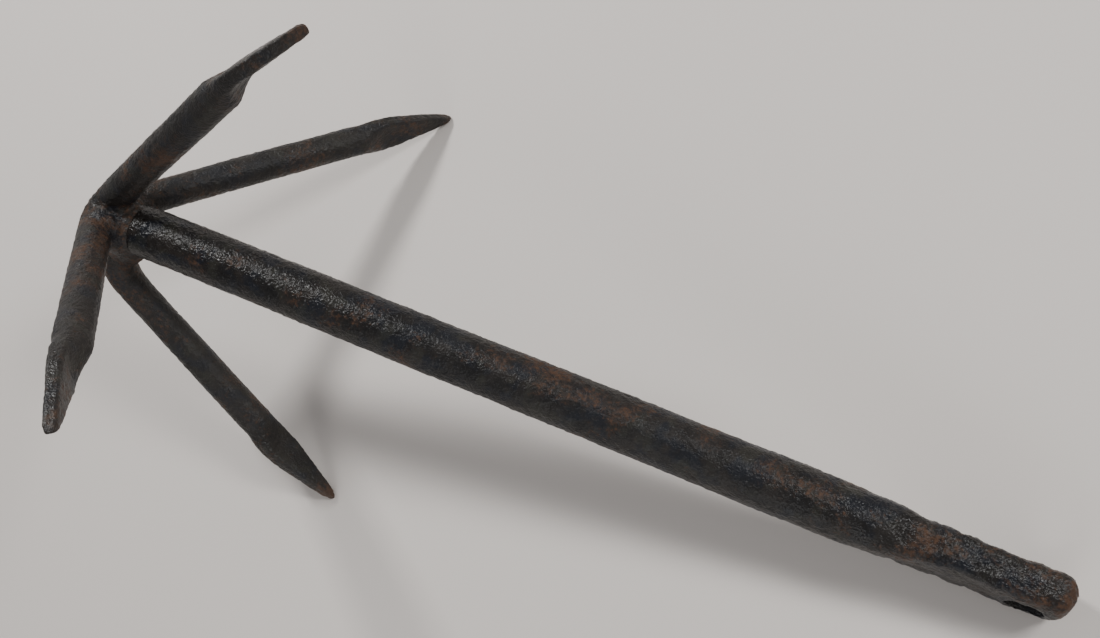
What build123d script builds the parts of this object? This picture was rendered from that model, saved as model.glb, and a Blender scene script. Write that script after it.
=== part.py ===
"""Grapnel anchor: a hand-forged four-armed boat grapnel, lying as it rests on a flat floor.

The anchor is one thick round bar, the shank, with a flattened eye at one end. Four thinner round bars
are forge-welded round the other end, the crown. Each bends outwards at its root and ends in a fluke,
a flattened leaf with a scooped shoulder. Lumps of weld fill the crotches between the arms.

Nothing moves. The anchor rests on the tips of two arms and on the underside of its eye.
Millimetres, +Z up, +X from the crown towards the eye, floor at Z = 0.
"""

import os
from math import cos, radians, sin

from build123d import *

# Where the anchor lies: the centre of the shank's crown end, and the shank's slope down to the eye.
crown_x = -313.3
crown_y = -18.3
crown_height = 169.8
shank_slope = 12.61

# Shank: a round bar with a short nose that the arms are welded to.
shank_length = 682.0
shank_radius = 19.0
nose_length = 20.0
nose_radius = 10.0
nose_root_radius = 15.0
shank_edge = 3.0

# Eye: the far end of the shank, drawn down and flattened, with a cross hole for the rope.
taper_start = 550.0
eye_start = 597.0
eye_thickness = 25.5
eye_height = 44.8
eye_corner = 8.0
eye_end_edge = 7.0
eye_roll = -12.0
hole_station = 659.0
hole_radius = 10.5
hole_lip = 1.5

# Arms: all start on the shank's axis just behind its end, run straight out and then turn at a knee.
arm_radius = 11.75
arm_station = -25.5
knee_radius = 12.0
long_knee_radius = 22.0

# Flukes: a leaf outline, given as shares of its length and of the bar's radius, and its side profile.
leaf_outline = [(0.03, 0.98), (0.19, 1.09), (0.38, 0.99), (0.56, 0.81), (0.76, 0.60)]
leaf_tip = 3.0
leaf_thickness = 10.4
leaf_tip_thickness = 8.0
shoulder_offset = 10.0
scoop_length = 17.0
profile_clearance = 1.0

# One row per arm: its azimuth round the shank from the top towards +Y, the angle between it and the
# shank, the reach of its root, its straight length from knee to tip, its fluke's length, how far the
# fluke lies outside the bar's centre line, its inward bend and twist, and the radius of the arm's knee.
arms = {
    "arm_upper_left": (43.6, 50.0, 17.3, 263.9, 91.0, 3.5, 7.0, 2.0, knee_radius),
    "arm_lower_left": (127.6, 53.5, 18.0, 269.6, 83.0, 0.0, 2.0, 0.0, knee_radius),
    "arm_upper_right": (-32.0, 54.2, 19.7, 251.5, 88.0, 3.0, 0.0, 16.0, knee_radius),
    "arm_lower_right": (-132.2, 38.3, 49.3, 247.1, 88.0, 3.0, 5.0, 0.0, long_knee_radius),
}
arm_order = ["arm_upper_right", "arm_upper_left", "arm_lower_left", "arm_lower_right"]

# Weld runs round the shank's end, one between each two arms: how far the bead's round section lies
# along the shank and out from its axis, and its radius. Each run is turned a little past its arms'
# middles, so that its ends do not lie in the planes of the arms' own seams.
weld_shift = 4.0
welds = {
    "weld_top": (-9.0, 9.5, 8.0),
    "weld_left": (-10.0, 13.5, 9.0),
    "weld_bottom": (-10.0, 12.5, 8.5),
    "weld_right": (-10.0, 12.0, 8.5),
}

os.makedirs("parts", exist_ok=True)

# The anchor's own axes: x along the shank from its crown end, y across, z upwards.
shank_direction = (cos(radians(shank_slope)), 0, -sin(radians(shank_slope)))
shank_up = (sin(radians(shank_slope)), 0, cos(radians(shank_slope)))
anchor = Plane(origin=(crown_x, crown_y, crown_height), x_dir=shank_direction, z_dir=shank_up)
shank_axis = Axis(anchor.origin, anchor.x_dir)


def moved(plane, offset, turn=(0, 0, 0)):
    """The plane, moved by an offset in its own axes and then turned about its own x, y and z."""
    return Plane(plane.location * Location(offset, turn))


def section_at(station, roll=0):
    """A plane across the shank, its x across the anchor and its y upwards."""
    return moved(moved(anchor, (station, 0, 0), (roll, 0, 0)), (0, 0, 0), (90, 90, 0))


def plane_at_azimuth(azimuth):
    """A plane through the shank's axis: x along the shank, y outwards at that azimuth."""
    return moved(anchor, (0, 0, 0), (90 - azimuth, 0, 0))


def middle_azimuth(first, second):
    """The azimuth halfway from the first arm to the second, going towards +Y from the top."""
    start = arms[first][0]
    return start + ((arms[second][0] - start) % 360) / 2


# The shank, its nose and its eye.
with BuildPart() as shank:
    with BuildSketch(moved(anchor, (0, 0, 0), (90, 0, 0))):
        Polygon(
            (-nose_length, 0),
            (-nose_length, nose_radius),
            (-shank_edge, nose_root_radius),
            (0, shank_radius - shank_edge),
            (shank_edge, shank_radius),
            (taper_start, shank_radius),
            (taper_start, 0),
            align=None,
        )
    revolve(axis=shank_axis)
    with BuildSketch(section_at(taper_start)):
        Circle(shank_radius)
    with BuildSketch(section_at(eye_start, eye_roll)):
        RectangleRounded(eye_thickness, eye_height, eye_corner)
    loft()
    with BuildSketch(section_at(eye_start, eye_roll)):
        RectangleRounded(eye_thickness, eye_height, eye_corner)
    extrude(amount=shank_length - eye_start)
    end_face = shank.faces().sort_by(shank_axis)[-1]
    fillet(end_face.edges(), radius=eye_end_edge)
    hole_plane = moved(anchor, (hole_station, 0, 0), (90 + eye_roll, 0, 0))
    with BuildSketch(hole_plane):
        Circle(hole_radius)
    extrude(amount=eye_thickness, both=True, mode=Mode.SUBTRACT)
    circles = shank.edges().filter_by(GeomType.CIRCLE)
    fillet(circles.filter_by(lambda edge: abs(edge.radius - hole_radius) < hole_lip / 2), radius=hole_lip)
    split(bisect_by=Plane.XY, keep=Keep.TOP)

shank.part.label = "shank"
export_step(shank.part, "parts/shank.step")

# The arms. Each is a bar swept along its bent centre line, then cut to meet its neighbours at the crown.
bars = {}
for order, name in enumerate(arm_order):
    azimuth, splay, root_reach, length, fluke_length, rise, bend, twist, knee = arms[name]
    before = arm_order[order - 1]
    after = arm_order[(order + 1) % len(arm_order)]
    arm_plane = plane_at_azimuth(azimuth)
    bar_plane = moved(arm_plane, (arm_station, root_reach, 0), (0, 0, splay))
    bar_length = length - fluke_length
    bent_plane = moved(bar_plane, (bar_length, rise, 0), (0, 0, -bend))
    leaf_plane = moved(bent_plane, (0, 0, 0), (twist, 0, 0))
    bar_end = bar_plane.from_local_coords((bar_length + shoulder_offset + scoop_length, 0, 0))

    with BuildPart() as arm:
        # The round bar, from the shank's axis out to the narrow end of its scoops.
        with BuildLine() as centre_line:
            FilletPolyline(
                arm_plane.from_local_coords((arm_station, 0, 0)),
                bar_plane.origin,
                bar_end,
                radius=knee,
            )
        with BuildSketch(Plane(centre_line.line @ 0, x_dir=arm_plane.z_dir, z_dir=centre_line.line % 0)):
            Circle(arm_radius)
        sweep()
        bars[name] = arm.part
        # The leaf: its outline, as thick as the forging at its shoulder.
        with BuildSketch(moved(leaf_plane, (0, 0, 0), (90, 0, 0))):
            with BuildLine():
                upper = [(share * fluke_length, width * arm_radius) for share, width in leaf_outline]
                upper.append((fluke_length - leaf_tip, leaf_tip))
                lower = [(along, -across) for along, across in upper]
                Spline(*upper)
                ThreePointArc(upper[-1], (fluke_length, 0), lower[-1])
                Spline(*lower)
                Line(lower[0], upper[0])
            make_face()
        extrude(amount=leaf_thickness / 2, both=True)
        # Its profile from the side: a hollow shoulder on each face, then a blade that thins to the tip.
        with BuildSketch(leaf_plane):
            with BuildLine():
                behind = root_reach + length
                front_neck = shoulder_offset + scoop_length
                edge = leaf_thickness / 2
                tip_edge = leaf_tip_thickness / 2
                back_face = arm_radius + profile_clearance
                front_face = back_face + rise
                Polyline((0, back_face), (0, behind), (-behind, behind), (-behind, -behind),
                         (shoulder_offset, -behind), (shoulder_offset, -front_face))
                TangentArc((shoulder_offset, -front_face), (front_neck, -edge), tangent=(0, 1))
                Polyline((front_neck, -edge), (fluke_length, -tip_edge), (fluke_length, tip_edge),
                         (scoop_length, edge))
                TangentArc((0, back_face), (scoop_length, edge), tangent=(0, -1))
            make_face()
        extrude(amount=length, both=True, mode=Mode.INTERSECT)
        # The mitres to the two neighbours, the seat on the shank's nose and the worn spot on the floor.
        mitre_before = plane_at_azimuth(middle_azimuth(before, name))
        mitre_after = plane_at_azimuth(middle_azimuth(name, after))
        split(bisect_by=mitre_before, keep=Keep.BOTTOM)
        split(bisect_by=mitre_after, keep=Keep.TOP)
        add(shank.part, mode=Mode.SUBTRACT)
        split(bisect_by=Plane.XY, keep=Keep.TOP)

    arm.part.label = name
    export_step(arm.part, f"parts/{name}.step")

# The weld runs: each is a bead swept round the shank's end from one arm to the next, behind the arms.
for order, name in enumerate(welds):
    first = arm_order[order]
    second = arm_order[(order + 1) % len(arm_order)]
    station, reach, radius = welds[name]
    with BuildPart() as bead:
        with BuildSketch(plane_at_azimuth(arms[second][0] + weld_shift)):
            with Locations((station, reach)):
                Circle(radius)
        revolve(axis=shank_axis, revolution_arc=(arms[second][0] - arms[first][0]) % 360)
    # Cut in one algebra step each, because a builder's tidying breaks these thin curved joins.
    weld = bead.part - shank.part - bars[first] - bars[second]
    weld.label = name
    export_step(weld, f"parts/{name}.step")
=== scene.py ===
"""The looks of a hand-forged grapnel anchor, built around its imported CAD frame.

Pieces are worked out in millimetres and turned into metres as their meshes are made. The floor, the
lights and the camera are in metres.
"""

from math import cos, pi, radians, sin, tan

import bpy
import numpy as np
from mathutils import Matrix


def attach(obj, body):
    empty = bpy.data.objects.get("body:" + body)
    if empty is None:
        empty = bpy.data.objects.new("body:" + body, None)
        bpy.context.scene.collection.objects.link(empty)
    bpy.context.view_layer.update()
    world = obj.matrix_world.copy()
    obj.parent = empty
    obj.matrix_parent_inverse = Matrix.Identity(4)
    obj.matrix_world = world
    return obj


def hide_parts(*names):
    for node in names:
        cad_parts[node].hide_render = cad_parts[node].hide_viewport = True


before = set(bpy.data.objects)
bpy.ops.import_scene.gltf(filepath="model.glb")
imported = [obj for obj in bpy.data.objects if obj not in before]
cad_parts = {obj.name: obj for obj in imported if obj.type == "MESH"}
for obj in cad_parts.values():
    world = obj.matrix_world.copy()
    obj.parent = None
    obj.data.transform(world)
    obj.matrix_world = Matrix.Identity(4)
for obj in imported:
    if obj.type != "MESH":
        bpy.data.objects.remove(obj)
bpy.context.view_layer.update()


# ---------------------------------------------------------------------------------------------------
# The shank: one thick round bar of wrought iron. Its crown end has a short nose that the arms are
# welded to. Its other end is drawn down, flattened and punched with a cross hole for the rope.
# ---------------------------------------------------------------------------------------------------
MM = 0.001

# The anchor rests on two fluke tips and on its eye, so the shank slopes down from the crown.
crown_end = np.array([-313.3, -18.3, 169.8])
shank_slope = radians(12.61)
along = np.array([cos(shank_slope), 0.0, -sin(shank_slope)])
upward = np.array([sin(shank_slope), 0.0, cos(shank_slope)])
across = np.array([0.0, 1.0, 0.0])


def placed(station, side, height):
    """Points so far along the shank from its crown end, to its side and above its axis: the crown end
    plus each of the three times its own direction."""
    station, side, height = (np.asarray(value)[..., None] for value in (station, side, height))
    return crown_end + station * along + side * across + height * upward


def smooth_step(low, high, value):
    """0 below low, 1 above high, and between them 3 s squared less 2 s cubed, where s is the share of
    the way from low to high."""
    share = np.clip((value - low) / (high - low), 0, 1)
    return share * share * (3 - 2 * share)


# The forged skin. Every bar was drawn out under the hammer and has then rusted, so its surface has
# slow waves, flat hammer marks and two sizes of rust pit. All of them are moved in the mesh itself.
lattice = 32
drift_gain = 1.6


def drift(points, size, seed):
    """Gradient noise from about -1 to 1. A cubic lattice of that size has a random slope at each corner,
    and a point takes the heights that the slopes of its eight corners give it, blended by nearness."""
    slopes = np.random.default_rng(seed).normal(size=(lattice, lattice, lattice, 3))
    slopes /= np.linalg.norm(slopes, axis=-1, keepdims=True)
    place = points / size + 7.3
    corner = np.floor(place).astype(int)
    inside = place - corner
    blend = inside ** 3 * (inside * (inside * 6 - 15) + 10)
    total = np.zeros(points.shape[:-1])
    for step in np.ndindex(2, 2, 2):
        picked = (corner + step) % lattice
        slope = slopes[picked[..., 0], picked[..., 1], picked[..., 2]]
        weight = np.prod(np.where(step, blend, 1 - blend), axis=-1)
        total += weight * np.sum(slope * (inside - step), axis=-1)
    return total * drift_gain


def craters(points, size, seed):
    """Rust pits from 0 to 1. Each cell of a cubic lattice of that size has one bowl round a random point.
    A wider bowl is also deeper, and a point takes the deepest bowl that reaches it."""
    bowls = np.random.default_rng(seed).random((lattice, lattice, lattice, 4))
    place = points / size + 3.1
    cell = np.floor(place).astype(int)
    deepest = np.zeros(points.shape[:-1])
    for step in np.ndindex(3, 3, 3):
        near = cell + np.array(step) - 1
        picked = near % lattice
        bowl = bowls[picked[..., 0], picked[..., 1], picked[..., 2]]
        distance = np.linalg.norm(near + bowl[..., :3] - place, axis=-1)
        width = 0.35 + 0.45 * bowl[..., 3]
        deepest = np.maximum(deepest, (1 - smooth_step(0.25, 1.0, distance / width)) * bowl[..., 3])
    return deepest


def forged(points, seed, waves=0.45, marks=0.22, pits=0.42, grain=0.30):
    """Slow waves, hammer marks and grain of those heights in millimetres, less two sizes of rust pit that
    are deeper in patches, plus the pits' usual depth, so that the bar keeps its size. Gives how far each
    point stands out and how deep in a pit it is, from 0 to 1."""
    large = craters(points, 5.5, seed + 3)
    small = craters(points, 2.9, seed + 4)
    pit_patch = smooth_step(-0.35, 0.35, drift(points, 38.0, seed + 5))
    height = waves * drift(points, 60.0, seed) + marks * drift(points, 17.0, seed + 1)
    height = height + grain * (0.6 * drift(points, 4.6, seed + 2) + drift(points, 2.7, seed + 6))
    height = height - pits * (0.35 + 0.65 * pit_patch) * (0.6 * large + 0.8 * small)
    usual_depth = 0.75 * pits
    return height + usual_depth, np.clip(0.75 * large + 0.5 * small, 0, 1)


def outward(grid):
    """Unit normals of a grid of rings: the cross product of the step to the next point of the ring and
    the step to the next ring, turned to point away from the rings' middles."""
    down = np.gradient(grid, axis=0)
    round_it = np.roll(grid, -1, axis=1) - np.roll(grid, 1, axis=1)
    normal = np.cross(round_it, down)
    normal /= np.maximum(np.linalg.norm(normal, axis=-1, keepdims=True), 1e-9)
    spread = grid - grid.mean(axis=1, keepdims=True)
    return normal * np.sign(np.sum(normal * spread))


def piece(name, grid, **marks):
    """A closed mesh: squares between neighbouring rings of points, and at each end a fan to the middle of
    the last ring. marks are the numbers that the finish reads at each point: rust, pit and gloss."""
    rings, count = grid.shape[:2]
    points = np.concatenate([grid.reshape(-1, 3), grid[0].mean(0)[None], grid[-1].mean(0)[None]])
    index = np.arange(rings * count).reshape(rings, count)
    beside = np.roll(index, -1, axis=1)
    quads = np.stack([index[:-1], beside[:-1], beside[1:], index[1:]], axis=-1).reshape(-1, 4)
    first = np.stack([np.full(count, rings * count), beside[0], index[0]], axis=-1)
    last = np.stack([np.full(count, rings * count + 1), index[-1], beside[-1]], axis=-1)
    corners = points[quads]
    ring_middles = points[index].mean(1)[quads[:, 0] // count]
    facing = np.sum(np.cross(corners[:, 2] - corners[:, 0], corners[:, 3] - corners[:, 1])
                    * (corners.mean(1) - ring_middles))
    if facing < 0:
        quads, first, last = quads[:, ::-1], first[:, ::-1], last[:, ::-1]
    mesh = bpy.data.meshes.new(name)
    mesh.from_pydata((points * MM).tolist(), [], quads.tolist() + first.tolist() + last.tolist())
    mesh.polygons.foreach_set("use_smooth", np.ones(len(mesh.polygons), bool))
    for mark, values in marks.items():
        ends = [values[0].mean(), values[-1].mean()]
        mesh.attributes.new(mark, "FLOAT", "POINT").data.foreach_set(
            "value", np.concatenate([values.ravel(), ends]).astype(np.float32))
    shape = bpy.data.objects.new(name, mesh)
    bpy.context.scene.collection.objects.link(shape)
    return shape


def section(width, out, inn, square, turns):
    """Superellipses of half-width width and of half-heights out and inn on their two faces. Their reach
    is the sum of two powers, of the cosine over the width and of the sine over the height, to minus one
    over the power. square is the power: 2 is an ellipse, more is squarer. Gives side and height."""
    tall = np.where(np.sin(turns) > 0, out[:, None], inn[:, None])
    angle = np.arctan2(tall * np.sin(turns), width[:, None] * np.cos(turns))
    power = square[:, None]
    reach = (np.abs(np.cos(angle) / width[:, None]) ** power
             + np.abs(np.sin(angle) / tall) ** power) ** (-1 / power)
    return reach * np.cos(angle), reach * np.sin(angle)


class Value:
    """A number or a colour in a finish. Sums with a number add Math nodes."""

    def __init__(self, finish, socket):
        self.finish = finish
        self.socket = socket

    def maths(self, operation, *numbers, clamp=False):
        settings = {"operation": operation, "use_clamp": clamp}
        return self.finish.node("ShaderNodeMath", settings, *numbers)

    def __add__(self, other):
        return self.maths("ADD", self, other)

    def __radd__(self, other):
        return self.maths("ADD", other, self)

    def __sub__(self, other):
        return self.maths("SUBTRACT", self, other)

    def __rsub__(self, other):
        return self.maths("SUBTRACT", other, self)

    def __mul__(self, other):
        return self.maths("MULTIPLY", self, other)

    def __rmul__(self, other):
        return self.maths("MULTIPLY", other, self)

    def clamped(self):
        return self.maths("ADD", self, 0.0, clamp=True)

    def between(self, low, high):
        """0 where the value is below low, 1 above high, and smooth between."""
        settings = {"interpolation_type": "SMOOTHSTEP"}
        return self.finish.node("ShaderNodeMapRange", settings, self, low, high)


class Finish:
    """One material and its nodes. Every node that isn't a sum comes from its method node."""

    def __init__(self, name):
        self.material = bpy.data.materials.new(name)
        self.material.use_nodes = True
        self.nodes = self.material.node_tree.nodes
        self.links = self.material.node_tree.links
        self.shader = self.nodes["Principled BSDF"]
        self.coordinates = self.node("ShaderNodeTexCoord", {}, give="Object")

    def node(self, kind, settings, *values, give=0, **named):
        """A node of that type: its settings are set first, then its sockets, in order or by name."""
        made = self.nodes.new(kind)
        for setting, value in settings.items():
            setattr(made, setting, value)
        sockets = [socket for socket in made.inputs if socket.enabled]
        for socket, value in zip(sockets, values):
            self.feed(socket, value)
        for name, value in named.items():
            self.feed(made.inputs[name], value)
        return Value(self, made.outputs[give])

    def feed(self, socket, value):
        """Links a value to a socket, or sets the socket to a plain number or colour."""
        if isinstance(value, Value):
            self.links.new(value.socket, socket)
        elif isinstance(value, tuple) and len(value) == 3 and socket.type == "RGBA":
            socket.default_value = (*value, 1)
        else:
            socket.default_value = value

    def shade(self, **looks):
        """Feeds the shader's sockets, named with _ for a space."""
        for name, value in looks.items():
            self.feed(self.shader.inputs[name.replace("_", " ")], value)

    def noise(self, size, detail, rough, shift=0.0):
        """Cloudy noise, 0 to 1, with features of about that size in millimetres."""
        place = self.node("ShaderNodeMapping", {}, self.coordinates, (shift, 2 * shift, -shift))
        return self.node("ShaderNodeTexNoise", {}, give="Fac", Vector=place, Scale=1 / (size * MM),
                         Detail=detail, Roughness=rough)

    def mix(self, share, low, high):
        """Two colours blended by a share from 0 to 1. A Mix node's third output is its colour."""
        return self.node("ShaderNodeMix", {"data_type": "RGBA"}, share, low, high, give=2)

    def mark(self, name):
        """A number stored on the piece's points."""
        return self.node("ShaderNodeAttribute", {"attribute_name": name}, give="Fac")


def old_iron(name, shift, warmth, painted_fill):
    """Old wrought iron, oiled over rust. A black to brown skin has patches of blue-black mill scale and
    of olive. Brown and orange rust lie over it where the rust mark and a speckle add up to enough, pits
    are blacker, and the gloss mark makes it shine. shift moves the patches about. warmth is how brown
    the iron is, from 0 to 1. The last argument is how far the whole iron is painted paler, from 0 to 1:
    a painted fill light that stands in for light which doesn't reach it."""
    black_skin, brown_skin = (0.0066, 0.0058, 0.0058), (0.0175, 0.0142, 0.0124)
    mill_scale, olive = (0.0065, 0.0080, 0.0125), (0.027, 0.0260, 0.0195)
    brown_rust, orange_rust = (0.032, 0.0190, 0.0135), (0.088, 0.041, 0.020)
    # The last colour here is the pale colour that the whole iron is painted towards, a painted fill
    # light.
    pit_black, painted_fill_colour = (0.006, 0.005, 0.0045), (0.046, 0.041, 0.036)
    iron = Finish(name)
    rust = iron.mark("rust")
    pit = iron.mark("pit")
    gloss = iron.mark("gloss")
    clouds = iron.noise(26.0, 3.0, 0.6, shift)
    scale_patches = iron.noise(19.0, 3.0, 0.5, shift + 3.0).between(0.48, 0.60)
    olive_patches = iron.noise(15.0, 3.0, 0.5, shift + 11.0).between(0.52, 0.66)
    speckle = iron.noise(3.4, 4.0, 0.65, shift + 5.0)
    dust = iron.noise(1.1, 2.0, 0.6, shift + 8.0)
    brown = (rust + speckle * 0.8 - 0.42 + pit * 0.08 + (warmth - 0.5) * 0.2).between(0.10, 0.52)
    orange = (rust + speckle * 1.7 - 1.16 + dust * 0.3).between(0.10, 0.50)
    colour = iron.mix(clouds.between(0.36, 0.66), black_skin, brown_skin)
    colour = iron.mix(scale_patches * 0.9, colour, mill_scale)
    colour = iron.mix(olive_patches * 0.5, colour, olive)
    colour = iron.mix(brown * 0.75, colour, brown_rust)
    colour = iron.mix(orange * 0.75, colour, orange_rust)
    colour = iron.mix(pit * 0.40, colour, pit_black)
    # Painted light: the whole iron is painted paler by this share, a painted fill light standing in for
    # light that doesn't reach it.
    colour = iron.mix(painted_fill, colour, painted_fill_colour)
    roughness = 0.48 - gloss * 0.31 + clouds * 0.06 + brown * 0.08 + orange * 0.14
    pebbles = iron.noise(1.5, 1.0, 0.5, shift + 2.0)
    grit = iron.noise(0.8, 1.0, 0.5, shift + 4.0)
    bumps = iron.node("ShaderNodeBump", {}, Strength=1.0, Distance=0.0007, Height=pebbles + grit * 0.3)
    iron.shade(Base_Color=colour, Roughness=roughness.clamped(), Normal=bumps, Specular_IOR_Level=0.33)
    return iron.material


shank_length = 682.0
shank_radius = 19.0
nose_length = 18.0
nose_tip_radius, nose_root_radius = 11.0, 16.0
crown_edge_radii = [15.0, 16.6, 17.6, 18.5, 18.9]
taper_start, taper_end = 541.0, 608.0
eye_half_thickness = 13.0
eye_half_height = 22.3
eye_roll = radians(-12.0)
end_round = 9.0
hole_station = 659.0
hole_radius = 10.5
hole_flare = 1.6
hole_mouth = 12.5
shank_points_round = 128
shank_rings, nose_rings, corner_rings, face_rings = 650, 14, 12, 16

# Its rings: the nose, the crown end's edge, the bar, the eye's rounded end and the flat end face.
nose = np.linspace(-nose_length, 0, nose_rings, endpoint=False)
crown_edge = [0.0, 0.0, 0.3]
body = np.linspace(0, shank_length, shank_rings)
body = body[(body > 0.8) & (body < shank_length - end_round)]
corner_turn = np.linspace(0, pi / 2, corner_rings)
corner = shank_length - end_round + end_round * np.sin(corner_turn)
station = np.concatenate([nose, crown_edge, body, corner, np.full(face_rings, shank_length)])
straight = len(station) - corner_rings - face_rings
inset = np.concatenate([np.zeros(straight), end_round * (1 - np.cos(corner_turn)),
                        np.full(face_rings, end_round)])
face_share = np.concatenate([np.ones(straight + corner_rings), np.linspace(0.94, 0.03, face_rings)])

# Its section: round, with the crown end's edge rolled over, then flattened and turned a little.
flat = smooth_step(taper_start, taper_end, station)
nose_share = smooth_step(-nose_length, 2.5, station)
nose_radius = nose_tip_radius + (nose_root_radius - nose_tip_radius) * nose_share
bar = np.where(station < 0.1, nose_radius, shank_radius)
bar[nose_rings:nose_rings + len(crown_edge_radii)] = crown_edge_radii
wide = (bar + (eye_half_thickness - bar) * flat - inset) * face_share
high = (bar + (eye_half_height - bar) * flat - inset) * face_share
turns = np.linspace(0, 2 * pi, shank_points_round, endpoint=False)[None, :]
side, height = section(wide, high, high, 2 + 2.8 * flat, turns)
roll = (eye_roll * flat)[:, None]
side, height = side * np.cos(roll) - height * np.sin(roll), side * np.sin(roll) + height * np.cos(roll)
skin = placed(station[:, None] + 0 * side, side, height)

# Its forged skin: rougher towards the eye, and fading out towards the middle of the end face.
stand_out, pit_depth = forged(skin, 11, pits=0.46, grain=0.34)
stand_out = stand_out + 0.9 * smooth_step(470.0, 560.0, station)[:, None] * drift(skin, 13.0, 74)
strength = (face_share * (1 + 0.6 * smooth_step(540.0, 600.0, station)))[:, None]
skin = skin + outward(skin) * (stand_out * strength)[..., None]

# Rust lies in a band along the upper flank from the middle to the eye, and on the eye's end. The crown
# end and the part next to the eye shine most.
azimuth = np.degrees(np.arctan2(side, height))
band = np.exp(-((azimuth - 18.0) / 22.0) ** 2) * smooth_step(200.0, 330.0, station)[:, None]
band = band * (1 - 0.8 * smooth_step(600.0, 650.0, station))[:, None]
end_rust = smooth_step(668.0, 679.0, station)[:, None]
patches = drift(skin, 34.0, 71) + 0.6 * drift(skin, 15.0, 72)
rust_here = 0.03 + 0.10 * smooth_step(430.0, 520.0, station)[:, None]
rust = np.clip(rust_here + 0.16 * band + 0.55 * end_rust + 0.40 * patches, 0, 1)
ends_oiled = 1 - 0.6 * smooth_step(60.0, 300.0, station) + 0.4 * smooth_step(400.0, 560.0, station)
gloss = np.clip(0.8 * ends_oiled[:, None] + 0.25 * drift(skin, 20.0, 73), 0, 1)
shank = piece("shank_bar", skin, rust=rust, pit=pit_depth, gloss=gloss)


def barrel(seed):
    """The punched hole as a solid to cut with: a rough cylinder across the eye, whose radius grows by the
    flare in a smooth step at each of its mouths."""
    half_length, rings, points_round = 24.0, 60, 72
    reach = np.linspace(-half_length, half_length, rings)
    wide_here = hole_radius + hole_flare * smooth_step(hole_mouth - 6.0, hole_mouth + 3.0, np.abs(reach))
    turn = np.linspace(0, 2 * pi, points_round, endpoint=False)[None, :]
    x = hole_station + wide_here[:, None] * np.cos(turn)
    z = wide_here[:, None] * np.sin(turn)
    y = reach[:, None] + 0 * turn
    y, z = y * cos(eye_roll) - z * sin(eye_roll), y * sin(eye_roll) + z * cos(eye_roll)
    wall = placed(x, y, z)
    rough_wall = wall + outward(wall) * (0.35 * drift(wall, 5.0, seed))[..., None]
    marks = {mark: np.full(wall.shape[:2], level) for mark, level in
             [("rust", 0.2), ("pit", 0.3), ("gloss", 0.1)]}
    return piece("hole_cutter", rough_wall, **marks)


cutter = barrel(seed=31)
hole = shank.modifiers.new("hole", "BOOLEAN")
hole.operation = "DIFFERENCE"
hole.solver = "EXACT"
hole.object = cutter
bpy.context.view_layer.update()
cut_mesh = bpy.data.meshes.new_from_object(shank.evaluated_get(bpy.context.evaluated_depsgraph_get()))
shank.modifiers.clear()
shank.data = cut_mesh
bpy.data.objects.remove(cutter)
shank.data.materials.clear()
shank.data.materials.append(old_iron("shank_iron", shift=0.0, warmth=0.5, painted_fill=0.0))
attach(shank, "root")
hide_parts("shank")


# ---------------------------------------------------------------------------------------------------
# The four arms: slimmer round bars of wrought iron, forge-welded together round the shank's nose. Each
# runs out from the shank's axis, turns at a knee and ends in a fluke, a leaf hammered flat from the
# bar itself, with a hollow shoulder on each face.
# ---------------------------------------------------------------------------------------------------
arm_radius = 11.75
arm_station = -25.5
leaf_half_thickness = 5.5
leaf_tip_half_thickness = 3.9
shoulder_lip = 0.6
back_hollow, front_hollow = 3.2, 1.5
tip_round = 8.0
tip_last_turn = 1.48
root_cap = 9.0
ring_gap = 0.8
cap_rings, tip_rings = 10, 16
arm_points_round = 96

# Azimuth round the shank from the top towards +Y, angle to the shank, reach of the root, straight
# length from knee to tip, fluke length, how far the fluke stands outside the bar's middle line, its
# inward bend and its twist, the knee's radius, how far the bar bows outwards, how much it swells
# towards the shoulder and how far the knee's inner side is filled out.
arms = {
    "arm_upper_left": (43.6, 50.0, 17.3, 263.9, 91.0, 3.5, 7.0, 1.5, 26.0, 0.4, 0.55, 0.0),
    "arm_lower_left": (127.6, 53.5, 18.0, 269.6, 83.0, 0.0, 2.0, 0.0, 14.0, 1.2, 0.1, 0.0),
    "arm_upper_right": (-32.0, 54.2, 19.7, 251.5, 88.0, 3.0, 0.0, 16.0, 14.0, 0.7, 0.3, 0.0),
    "arm_lower_right": (-132.2, 38.3, 49.3, 247.1, 88.0, 3.0, 5.0, 0.0, 22.0, 2.4, 0.35, 3.5),
}

# The leaf's half-width, as shares of the bar's, at shares of its length from the shoulder to the tip.
leaf_share = [0.0, 0.08, 0.19, 0.34, 0.44, 0.55, 0.72, 0.85, 0.95, 1.0]
leaf_width = [1.0, 1.04, 1.13, 1.12, 1.02, 0.86, 0.63, 0.42, 0.21, 0.10]


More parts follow.
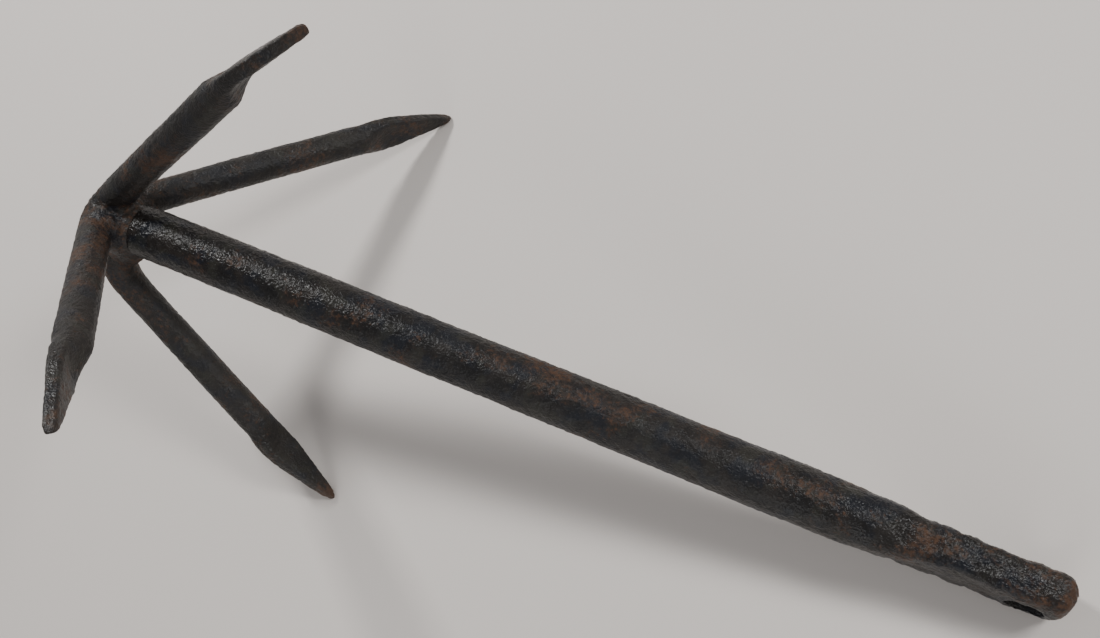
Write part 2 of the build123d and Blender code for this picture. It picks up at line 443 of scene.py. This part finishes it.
def arm_skin(azimuth, splay, root, length, fluke, rise, bend, twist, knee, bow, swell, web, seed):
    """Rings round a line whose heading turns at the knee and again at the shoulder: its places are the
    sums of the heading's sine and cosine, step by step. The section is the round bar, then the leaf.
    Gives the grid, how far past the shoulder each ring is and how much it is narrowed at the ends."""
    turn = radians(90 - splay)
    knee_start = root - knee * tan(turn / 2)
    total = knee_start + knee * turn + length - knee * tan(turn / 2)
    shoulder = total - fluke
    inner = np.arange(0.0, total - tip_round, ring_gap)
    cap = -root_cap * np.cos(np.linspace(0.08, pi / 2, cap_rings, endpoint=False))
    tip_turn = np.linspace(0, tip_last_turn, tip_rings)
    tip = total - tip_round + tip_round * np.sin(tip_turn)
    distance = np.concatenate([cap, inner, tip])
    heading = (pi / 2 - turn * np.clip((distance - knee_start) / (knee * turn), 0, 1)
               - radians(bend) * smooth_step(shoulder - 4.0, shoulder + 18.0, distance))
    heading = heading + 0.006 * np.sin(distance / 31.0 + seed)
    step = np.diff(distance, prepend=distance[0])
    away = np.cumsum(np.sin(heading) * step)
    ahead = np.cumsum(np.cos(heading) * step)
    start = np.searchsorted(distance, 0.0)
    away, ahead = away - away[start], ahead - ahead[start] + arm_station

    # The half-width and the half-heights of its back, which faces the crown, and its front.
    past = distance - shoulder
    bar = arm_radius + swell * smooth_step(0, shoulder, distance)
    width = bar * np.interp(past / fluke, leaf_share, leaf_width)
    width = np.convolve(np.pad(width, 6, "edge"), np.ones(13) / 13, "valid")
    thinning = leaf_tip_half_thickness - leaf_half_thickness
    blade = leaf_half_thickness + thinning * smooth_step(20, fluke, past)
    back = bar + (blade - bar) * (0.35 * smooth_step(-10, 6, past) + 0.65 * smooth_step(2, 24, past))
    lip = shoulder_lip * np.exp(-((past - 3.0) / 6.0) ** 2)
    filled_knee = web * np.exp(-((distance - knee_start - 0.4 * knee * turn) / 15.0) ** 2)
    front_fall = 0.25 * smooth_step(-2, 14, past) + 0.75 * smooth_step(5, 27, past)
    front = bar + filled_knee + lip + (blade - bar - lip) * front_fall
    ends = np.ones_like(distance)
    ends[:cap_rings] = np.sqrt(np.maximum(1 - (cap / root_cap) ** 2, 0.0)) + 0.03
    ends[-tip_rings:] = np.cos(tip_turn)

    # The section, with a hollow in the middle of each face just past the shoulder.
    square = 2 + 3.4 * smooth_step(2, 30, past)
    turns = np.linspace(0, 2 * pi, arm_points_round, endpoint=False)[None, :]
    tangent, normal = section(width * ends, back * ends, front * ends, square, turns)
    middle = np.clip(1 - (tangent / np.maximum(width * ends, 1e-6)[:, None]) ** 2, 0, 1) ** 2
    hollow = np.where(normal > 0, back_hollow * np.exp(-((past - 13.0) / 8.0) ** 2)[:, None],
                      front_hollow * np.exp(-((past - 24.0) / 11.0) ** 2)[:, None])
    dish = hollow * middle * ends[:, None]
    normal = normal - np.sign(normal) * np.minimum(dish, 0.6 * np.abs(normal))
    moved = rise * smooth_step(-6, 20, past) + bow * np.sin(pi * np.clip(distance / total, 0, 1))
    normal = normal + moved[:, None]

    # The fluke's twist, and then the ring's place along the shank and round it.
    spin = radians(twist) * smooth_step(-20, 24, past)[:, None]
    normal, tangent = (normal * np.cos(spin) - tangent * np.sin(spin),
                       normal * np.sin(spin) + tangent * np.cos(spin))
    station = ahead[:, None] - np.sin(heading)[:, None] * normal
    radial = away[:, None] + np.cos(heading)[:, None] * normal
    around = radians(azimuth)
    side = radial * sin(around) - tangent * cos(around)
    height = radial * cos(around) + tangent * sin(around)
    return placed(station, side, height), past, ends


# The arms' iron is painted paler by 0.17, a painted fill light.
arm_iron = old_iron("arm_iron", shift=20.0, warmth=0.55, painted_fill=0.17)
for order, (name, sizes) in enumerate(arms.items()):
    length, fluke = sizes[3:5]
    knee_end = fluke - length
    skin, past_shoulder, ends = arm_skin(*sizes, seed=order)
    stand_out, pit_depth = forged(skin, 40 + 10 * order, waves=0.35, pits=0.40, grain=0.28)
    strength = np.clip(ends + 0.25, 0, 1)[:, None]
    skin = skin + outward(skin) * (stand_out * strength)[..., None]
    tip_rust = smooth_step(0.55 * fluke, fluke, past_shoulder)[:, None]
    root_rust = (1 - smooth_step(knee_end - 10, knee_end + 60, past_shoulder))[:, None]
    patches = drift(skin, 30.0, 81 + order) + 0.6 * drift(skin, 13.0, 91 + order)
    rust = np.clip(0.13 + 0.30 * tip_rust + 0.26 * root_rust + 0.42 * patches, 0, 1)
    gloss = np.clip(0.26 + 0.3 * smooth_step(0, 20, past_shoulder)[:, None] + 0.4 * patches, 0, 1)
    arm = piece(name + "_bar", skin, rust=rust, pit=pit_depth, gloss=gloss)
    arm.data.materials.append(arm_iron)
    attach(arm, "root")
    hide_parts(name)


# ---------------------------------------------------------------------------------------------------
# The welds: iron run in between the arms and round the shank's end, lumpy and never dressed. Each
# lump is blown up from a point in its crotch until it comes out of a soft union of all the bars.
# ---------------------------------------------------------------------------------------------------
weld_blend = 15.0
weld_shrink = 0.3
weld_limit = 27.0
weld_station = -19.0
root_run = 60.0

# The two arms that each weld lies between, and how far its middle lies from the shank's axis.
welds = {
    "weld_top": ("arm_upper_right", "arm_upper_left", 13.0),
    "weld_left": ("arm_upper_left", "arm_lower_left", 15.0),
    "weld_bottom": ("arm_lower_left", "arm_lower_right", 15.0),
    "weld_right": ("arm_lower_right", "arm_upper_right", 15.0),
}


def rod_distance(points, start, end, radius):
    """Distance from points to a round-ended rod: to the nearest place on its line, less its radius."""
    line = end - start
    share = np.clip((points - start) @ line / (line @ line), 0, 1)
    return np.linalg.norm(points - start - share[..., None] * line, axis=-1) - radius


def soft_union(first, second, blend):
    """The smaller of two distances. Where they differ by less than the blend, they are mixed by a share s
    and less the blend times s times 1 - s, which rounds the join off."""
    share = np.clip(0.5 + 0.5 * (second - first) / blend, 0, 1)
    return second + (first - second) * share - blend * share * (1 - share)


def crown_distance(points):
    """Distance to the soft union of the four arms' roots, the shank's end and a filler lump, less noise
    for the lumps of weld."""
    bars = rod_distance(points, placed(-23.0, 0.0, 0.0), placed(-6.0, 0.0, 0.0), 16.0)
    for azimuth, splay, root, *_ in arms.values():
        around, lean = radians(azimuth), radians(splay)
        hub = placed(arm_station, 0.0, 0.0)
        knee = placed(arm_station, root * sin(around), root * cos(around))
        far = root + root_run * sin(lean)
        end = placed(arm_station + root_run * cos(lean), far * sin(around), far * cos(around))
        arm = np.minimum(rod_distance(points, hub, knee, arm_radius),
                         rod_distance(points, knee, end, arm_radius))
        bars = soft_union(bars, arm, weld_blend)
    shank_end = rod_distance(points, placed(14.0, 0.0, 0.0), placed(60.0, 0.0, 0.0), 17.5)
    bars = soft_union(bars, shank_end, weld_blend)
    filler = rod_distance(points, placed(-14.0, -12.0, 17.0), placed(-8.0, -21.0, -19.0), 6.5)
    bars = soft_union(bars, filler, weld_blend)
    return bars + weld_shrink - 0.9 * drift(points, 7.0, 121) - 0.35 * drift(points, 3.0, 122)


# The rays that each lump is blown up along. Lumps that meet differ a little in size, so that their
# skins don't lie in one another.
polar = np.linspace(0.03, pi - 0.03, 90)[:, None]
turn = np.linspace(0, 2 * pi, 150, endpoint=False)[None, :]
rays = np.stack([np.sin(polar) * np.cos(turn), np.sin(polar) * np.sin(turn),
                 np.cos(polar) + 0 * turn], axis=-1)
blowing_steps = 60
# The welds' iron is painted paler by 0.08, a painted fill light.
weld_iron = old_iron("weld_iron", shift=40.0, warmth=0.6, painted_fill=0.08)
for order, (name, (first, second, reach)) in enumerate(welds.items()):
    start = arms[first][0]
    middle = radians(start + ((arms[second][0] - start) % 360) / 2)
    centre = placed(weld_station, reach * sin(middle), reach * cos(middle))
    blown = np.full(rays.shape[:2], 0.5)
    for _ in range(blowing_steps):
        gap = crown_distance(centre + blown[..., None] * rays) + 0.12 * order
        blown = np.clip(blown + np.clip(-0.6 * gap, -0.5, 2.0), 0.5, weld_limit)
    lump = centre + blown[..., None] * rays
    patches = drift(lump, 12.0, 131)
    weld = piece(name + "_lump", lump, rust=np.clip(0.28 + 0.3 * patches, 0, 1),
                 pit=craters(lump, 3.0, 132), gloss=np.clip(0.3 - 0.4 * patches, 0, 1))
    weld.data.materials.append(weld_iron)
    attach(weld, "root")
    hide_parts(name)


# ---------------------------------------------------------------------------------------------------
# The studio: a pale paper floor, three soft square lights, of which the strongest stands behind the
# crown, a pale sky, and the camera, high over the eye and looking down along the shank to the crown.
# ---------------------------------------------------------------------------------------------------
floor_mesh = bpy.data.meshes.new("floor")
floor_mesh.from_pydata([(-8, -8, 0), (8, -8, 0), (8, 8, 0), (-8, 8, 0)], [], [(0, 1, 2, 3)])
floor = bpy.data.objects.new("floor", floor_mesh)
bpy.context.scene.collection.objects.link(floor)
paper = Finish("floor_paper")
tone = paper.noise(900.0, 2.0, 0.5)
paper.shade(Base_Color=paper.mix(tone, (0.762, 0.708, 0.666), (0.792, 0.736, 0.692)), Roughness=0.75)
floor.data.materials.append(paper.material)

anchor_middle = np.array([-0.05, 0.0, 0.08])
lamp_colour = (1.0, 1.0, 0.99)


def soft_light(name, place, size, power):
    """A square area light that looks at the middle of the anchor. Its axes are the way back from there,
    the cross product of that with upwards, and the cross product of those two."""
    lamp = bpy.data.lights.new(name, "AREA")
    lamp.size = size
    lamp.energy = power
    lamp.color = lamp_colour
    light = bpy.data.objects.new(name, lamp)
    bpy.context.scene.collection.objects.link(light)
    aim = anchor_middle - np.array(place)
    back = -aim / np.linalg.norm(aim)
    right = np.cross([0, 0, 1], back)
    right /= np.linalg.norm(right)
    turn = Matrix(np.stack([right, np.cross(back, right), back], axis=1).tolist()).to_4x4()
    light.matrix_world = Matrix.Translation(place) @ turn


soft_light("crown_light", (-1.12, 0.69, 1.40), size=0.27, power=20.0)
soft_light("eye_light", (1.05, 0.85, 1.30), size=0.40, power=15.0)
soft_light("low_light", (0.3, -1.5, 0.8), size=0.8, power=6.0)
world = bpy.data.worlds.new("sky")
world.use_nodes = True
sky = world.node_tree.nodes["Background"].inputs
sky["Color"].default_value = (0.93, 0.93, 0.95, 1)
sky["Strength"].default_value = 0.34
bpy.context.scene.world = world

# The camera: where it stands, and which ways its own right side and its top point.
camera_place = (0.3204, -0.00785, 0.7903)
camera_right = np.array([0.84704, 0.37028, -0.38133])
camera_up = np.array([-0.31563, 0.92764, 0.19966])
lens = bpy.data.cameras.new("camera")
lens.sensor_width = 36.0
lens.lens = 36.44
lens.clip_start = 0.01
camera = bpy.data.objects.new("camera", lens)
bpy.context.scene.collection.objects.link(camera)
camera_back = np.cross(camera_right, camera_up)
turn = Matrix(np.stack([camera_right, camera_up, camera_back], axis=1).tolist()).to_4x4()
camera.matrix_world = Matrix.Translation(camera_place) @ turn
bpy.context.scene.camera = camera
